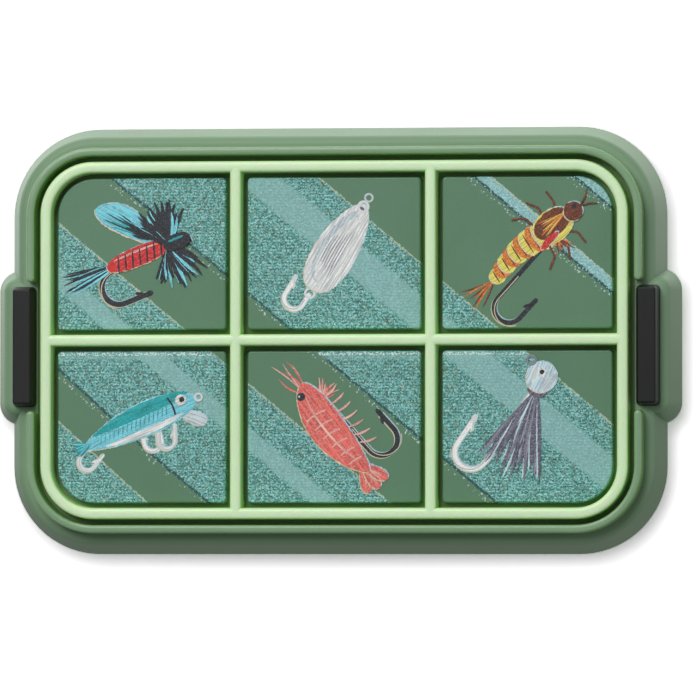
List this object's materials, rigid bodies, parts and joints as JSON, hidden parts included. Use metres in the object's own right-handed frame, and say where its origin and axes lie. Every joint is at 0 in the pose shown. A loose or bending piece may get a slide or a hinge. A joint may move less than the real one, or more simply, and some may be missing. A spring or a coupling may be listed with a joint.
{
  "type": "fishing tackle box shoe charm",
  "caption": "Soft vinyl shoe charm shaped like a shallow fly fishing box with a divider frame, side latches and a push-in stud.",
  "frame": {"origin": "on the surface the charm stands on, under the middle of the stud, at the stud's flat end", "axes": "+Z is the face's outward normal, +X runs along the charm's long side to the right of its face, +Y runs towards the face's top edge"},
  "size_m": [0.04, 0.0248, 0.0106],
  "materials": {
    "case_vinyl": "satin moulded soft vinyl, muted green",
    "frame_vinyl": "satin moulded soft vinyl, pale green",
    "tile_vinyl": "satin moulded soft vinyl, dark green, with a printed ink layer",
    "latch_vinyl": "satin moulded soft vinyl, black",
    "stud_vinyl": "satin moulded vinyl, muted green"
  },
  "bodies": {
    "root": {"base": "case_vinyl", "rim_upper": "case_vinyl", "rim_lower": "case_vinyl", "divider_frame": "frame_vinyl", "tile_top_left": "tile_vinyl", "tile_top_middle": "tile_vinyl", "tile_top_right": "tile_vinyl", "tile_bottom_left": "tile_vinyl", "tile_bottom_middle": "tile_vinyl", "tile_bottom_right": "tile_vinyl", "latch_left": "latch_vinyl", "latch_right": "latch_vinyl", "stud": "stud_vinyl"}
  },
  "joints": []
}
